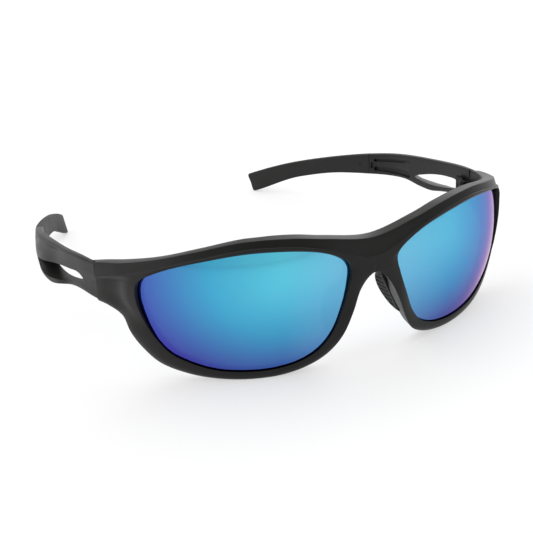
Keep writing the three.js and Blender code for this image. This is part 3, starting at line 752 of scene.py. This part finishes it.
# ---------- materials ----------
class Nodes:
    """Builds one material; positions are the piece's own, in metres."""

    def __init__(self, name):
        self.material = bpy.data.materials.new(name)
        self.material.use_nodes = True
        self.tree = self.material.node_tree
        self.shader = self.tree.nodes["Principled BSDF"]
        self.place = self.tree.nodes.new("ShaderNodeTexCoord").outputs["Object"]

    def plug(self, socket, value):
        if hasattr(value, "links"):
            self.tree.links.new(value, socket)
        else:
            socket.default_value = value

    def maths(self, operation, one, two=0.0):
        made = self.tree.nodes.new("ShaderNodeMath")
        made.operation = operation
        self.plug(made.inputs[0], one)
        self.plug(made.inputs[1], two)
        return made.outputs[0]

    def scaled(self, low, high, value, from_low=0.0, from_high=1.0):
        made = self.tree.nodes.new("ShaderNodeMapRange")
        for socket, number in zip(made.inputs, (value, from_low, from_high, low, high)):
            self.plug(socket, number)
        return made.outputs[0]

    def stretched(self, *scale):
        made = self.tree.nodes.new("ShaderNodeMapping")
        self.plug(made.inputs["Vector"], self.place)
        made.inputs["Scale"].default_value = scale
        return made.outputs[0]

    def noise(self, size, detail=2.0, roughness=0.5, place=None):
        """Noise with features of the given size in millimetres."""
        made = self.tree.nodes.new("ShaderNodeTexNoise")
        self.plug(made.inputs["Vector"], place or self.place)
        made.inputs["Scale"].default_value = 1 / (size * MM)
        made.inputs["Detail"].default_value = detail
        made.inputs["Roughness"].default_value = roughness
        return made.outputs[0]

    def blend(self, factor, one, two):
        made = self.tree.nodes.new("ShaderNodeMix")
        made.data_type = "RGBA"
        self.plug(made.inputs["Factor"], factor)
        for socket, colour in zip((made.inputs[6], made.inputs[7]), (one, two)):
            self.plug(socket, colour)
        return made.outputs[2]

    def bump(self, height, distance):
        """Adds relief whose full height is distance millimetres."""
        made = self.tree.nodes.new("ShaderNodeBump")
        made.inputs["Strength"].default_value = 1
        made.inputs["Distance"].default_value = distance * MM
        self.plug(made.inputs["Height"], height)
        return made.outputs[0]

    def set(self, **values):
        for key, value in values.items():
            self.plug(self.shader.inputs[key.replace("_", " ")], value)


BLACK_SPECULAR = 0.17


def moulded(name, dark, light, rough, grain, relief):
    """Moulded plastic or rubber: fine grain with lighter specks, cloudy gloss and duller scuffs.
    dark and light are the ends of its colour, rough those of its roughness; grain is the size
    and relief the height of its grain in millimetres."""
    made = Nodes(name)
    cloud = made.noise(14, 3)
    fine = made.noise(grain, 3, 0.65)
    scuff = made.noise(1.6, 4, 0.7, made.stretched(0.3, 1, 1.6))
    worn = made.scaled(0, 1, scuff, 0.62, 0.75)
    tone = made.blend(made.scaled(0, 1, cloud, 0.3, 0.7), dark, light)
    speck = made.scaled(0, 0.35, fine, 0.55, 0.8)
    tone = made.blend(speck, tone, tuple(1.6 * part for part in light[:3]) + (1,))
    gloss = made.scaled(rough[0], rough[1], cloud, 0.3, 0.7)
    gloss = made.maths("ADD", gloss, made.scaled(-0.03, 0.03, fine))
    gloss = made.maths("ADD", gloss, made.maths("MULTIPLY", worn, 0.06))
    normal = made.bump(fine, relief)
    made.set(Base_Color=tone, Roughness=gloss, Normal=normal, Specular_IOR_Level=BLACK_SPECULAR)
    return made.material


COAT_TINT = (1, 0.6, 0.92, 1)    # the coat swallows green at a slant, which turns the mirror violet
STRAIGHT_WAY = 1.09              # how much coat the light passes when the lens is seen from the front
ICE_BLUE = (0.1, 0.6, 0.75)
AZURE = (0.05, 0.4, 0.65)
VIOLET = (0.06, 0.06, 0.45)
PALE_BLUE = (0.2, 0.5, 0.75)
LENS_MIDDLE = (29, -1)           # x and z that the colour changes outwards and downwards from
LENS_SPAN = (31, 28)             # width and height of the change
VIOLET_AT = 1.2                  # how many times the span away the coating has turned violet
NOSE_BLUE = (11, 29)             # x where the paler blue of the nose side begins and ends


def under_coat(colour):
    """The colour that shows as the given one when seen straight through the tinted coat."""
    return (*(min(part / tint ** STRAIGHT_WAY, 1.0) for part, tint in zip(colour, COAT_TINT)), 1)


def coated_lens():
    """Mirror coating whose colour runs from ice blue to violet towards the outer and lower edge."""
    made = Nodes("mirror_lens")
    split = made.tree.nodes.new("ShaderNodeSeparateXYZ")
    made.plug(split.inputs[0], made.place)
    across = made.maths("ABSOLUTE", split.outputs["X"])
    beyond = made.maths("SUBTRACT", across, LENS_MIDDLE[0] * MM)
    drop = made.maths("SUBTRACT", (SHIFT[2] + LENS_MIDDLE[1]) * MM, split.outputs["Z"])
    squares = []
    for stretch, span in ((beyond, LENS_SPAN[0]), (drop, LENS_SPAN[1])):
        share = made.maths("MAXIMUM", made.maths("DIVIDE", stretch, span * MM), 0)
        squares.append(made.maths("MULTIPLY", share, share))
    distance = made.maths("SQRT", made.maths("ADD", *squares))
    drift = made.scaled(-0.025, 0.025, made.noise(22, 2))
    ramp = made.tree.nodes.new("ShaderNodeValToRGB")
    made.plug(ramp.inputs[0], made.maths("DIVIDE", made.maths("ADD", distance, drift), VIOLET_AT))
    stops = ramp.color_ramp.elements
    stops.new(0.5)
    for stop, colour in zip(stops, (ICE_BLUE, AZURE, VIOLET)):
        stop.color = under_coat(colour)
    nose = made.scaled(0.55, 0, across, NOSE_BLUE[0] * MM, NOSE_BLUE[1] * MM)
    tone = made.blend(nose, ramp.outputs["Color"], under_coat(PALE_BLUE))
    smudge = made.noise(9, 4, 0.6, made.stretched(1, 1, 0.5))
    dust = made.noise(0.35, 2)
    gloss = made.scaled(0.05, 0.11, smudge, 0.35, 0.7)
    gloss = made.maths("ADD", gloss, made.scaled(0, 0.03, dust, 0.6, 0.8))
    made.set(Base_Color=tone, Roughness=gloss, Metallic=1.0, Alpha=0.88, Coat_Weight=1.0, Coat_IOR=1.12,
             Coat_Tint=COAT_TINT, Specular_Tint=(0.7, 0.6, 0.8, 1), Normal=made.bump(smudge, 0.002))
    return made.material


def blackened_steel():
    """Dark oxide on steel, brushed along z and rubbed bright in places."""
    made = Nodes("hinge_steel")
    brushed = made.noise(0.12, 3, 0.6, made.stretched(1, 1, 0.06))
    patch = made.noise(2.5, 4, 0.6)
    tone = made.blend(made.scaled(0, 1, patch, 0.45, 0.75), (0.012, 0.012, 0.013, 1), (0.05, 0.05, 0.052, 1))
    gloss = made.maths("ADD", made.scaled(0.34, 0.5, brushed), made.scaled(0, 0.1, patch))
    made.set(Base_Color=tone, Roughness=gloss, Metallic=1.0, Normal=made.bump(brushed, 0.01))
    return made.material


def paint(piece, made):
    piece.data.materials.clear()
    piece.data.materials.append(made)
    piece.data.polygons.foreach_set("use_smooth", [True] * len(piece.data.polygons))
    piece.data.set_sharp_from_angle(angle=math.radians(32))


nylon = moulded("black_nylon", dark=(0.0105, 0.0102, 0.0098, 1), light=(0.0145, 0.014, 0.0135, 1),
                rough=(0.33, 0.4), grain=0.22, relief=0.006)
rubber = moulded("tip_rubber", dark=(0.014, 0.014, 0.0135, 1), light=(0.021, 0.021, 0.02, 1),
                 rough=(0.5, 0.62), grain=0.3, relief=0.016)
pad_rubber = moulded("pad_rubber", dark=(0.018, 0.018, 0.017, 1), light=(0.026, 0.026, 0.025, 1),
                     rough=(0.5, 0.6), grain=0.25, relief=0.008)
mirror = coated_lens()
steel = blackened_steel()
for pieces, made in (([frame_piece, *temple_pieces], nylon), (tip_pieces, rubber), (pad_pieces, pad_rubber),
                     (lens_pieces, mirror)):
    for piece in pieces:
        paint(piece, made)
STEEL_NODES = ("hinge_front_leaf", "hinge_temple_leaf", "hinge_screw", "front_leaf_screw",
               "temple_leaf_screw")
for name in STEEL_NODES:
    for side in SIDES:
        for slot in bpy.data.objects[f"{name}_{side}"].material_slots:
            slot.material = steel

# ---------- stage, light and camera ----------
# focal length in millimetres, angles in degrees, place in the design frame
CAMERA = {"lens": 74.14, "turn": 26.3, "tilt": 22.5, "roll": 3.74, "at": vec(-157.7, -294.3, 120.3)}


def look(turn, tilt, roll):
    """Camera axes from its heading, how far it looks down and its roll, in degrees."""
    turn, tilt, roll = (math.radians(angle) for angle in (turn, tilt, roll))
    ahead = Vector((math.sin(turn) * math.cos(tilt), math.cos(turn) * math.cos(tilt), -math.sin(tilt)))
    across = ahead.cross(Vector((0, 0, 1))).normalized()
    upward = across.cross(ahead)
    right = across * math.cos(roll) - upward * math.sin(roll)
    upward = right.cross(ahead)
    return Matrix((right, upward, -ahead)).transposed()


camera_data = bpy.data.cameras.new("camera")
camera_data.lens = CAMERA["lens"]
camera_data.sensor_width = 36
camera_data.clip_start = 0.01
camera = bpy.data.objects.new("camera", camera_data)
camera.matrix_world = Matrix.Translation((CAMERA["at"] + SHIFT) * MM) @ look(
    CAMERA["turn"], CAMERA["tilt"], CAMERA["roll"]).to_4x4()
bpy.context.scene.collection.objects.link(camera)
bpy.context.scene.camera = camera


def area_light(name, at, towards, size, power):
    data = bpy.data.lights.new(name, "AREA")
    data.shape = "RECTANGLE"
    data.size, data.size_y = size
    data.energy = power
    light = bpy.data.objects.new(name, data)
    light.location = at
    light.rotation_euler = (Vector(towards) - Vector(at)).to_track_quat("-Z", "Y").to_euler()
    bpy.context.scene.collection.objects.link(light)


# place, aim, size in metres and power in watts
area_light("overhead", (0, 0.15, 1.1), (0, 0, 0), (2.2, 1.6), 14)
area_light("left", (-1.2, 0.1, 0.45), (0, 0, 0.03), (0.9, 0.7), 2)
area_light("rear_right", (0.9, 0.7, 0.6), (0, 0, 0.03), (0.8, 0.6), 2.5)


def studio_world():
    """White behind and near the horizon, darker above the viewer."""
    world = bpy.data.worlds.new("studio")
    world.use_nodes = True
    tree = world.node_tree
    split = tree.nodes.new("ShaderNodeSeparateXYZ")
    tree.links.new(tree.nodes.new("ShaderNodeTexCoord").outputs["Generated"], split.inputs[0])
    height = tree.nodes.new("ShaderNodeMath")
    height.operation = "MULTIPLY_ADD"
    tree.links.new(split.outputs["Y"], height.inputs[0])
    height.inputs[1].default_value = -0.5
    tree.links.new(split.outputs["Z"], height.inputs[2])
    ramp = tree.nodes.new("ShaderNodeValToRGB")
    tree.links.new(height.outputs[0], ramp.inputs[0])
    bright, dim = ramp.color_ramp.elements
    bright.position, dim.position = 0.58, 0.8
    bright.color, dim.color = (0.88, 0.88, 0.88, 1), (0.25, 0.25, 0.25, 1)
    tree.links.new(ramp.outputs["Color"], tree.nodes["Background"].inputs["Color"])
    bpy.context.scene.world = world


studio_world()
bpy.context.scene.view_settings.view_transform = "Standard"

FLOOR_HALF = 4                   # metres from the middle of the floor to its edges
corners = [(x * FLOOR_HALF, y * FLOOR_HALF, 0) for x, y in ((-1, -1), (1, -1), (1, 1), (-1, 1))]
floor_mesh = bpy.data.meshes.new("floor")
floor_mesh.from_pydata(corners, [], [(0, 1, 2, 3)])
floor = bpy.data.objects.new("floor", floor_mesh)
bpy.context.scene.collection.objects.link(floor)
pale = Nodes("pale_floor")
pale.set(Base_Color=(0.42, 0.42, 0.42, 1), Roughness=0.9, Emission_Color=(1, 1, 1, 1), Emission_Strength=0.56,
         Specular_IOR_Level=0.0)
floor.data.materials.append(pale.material)
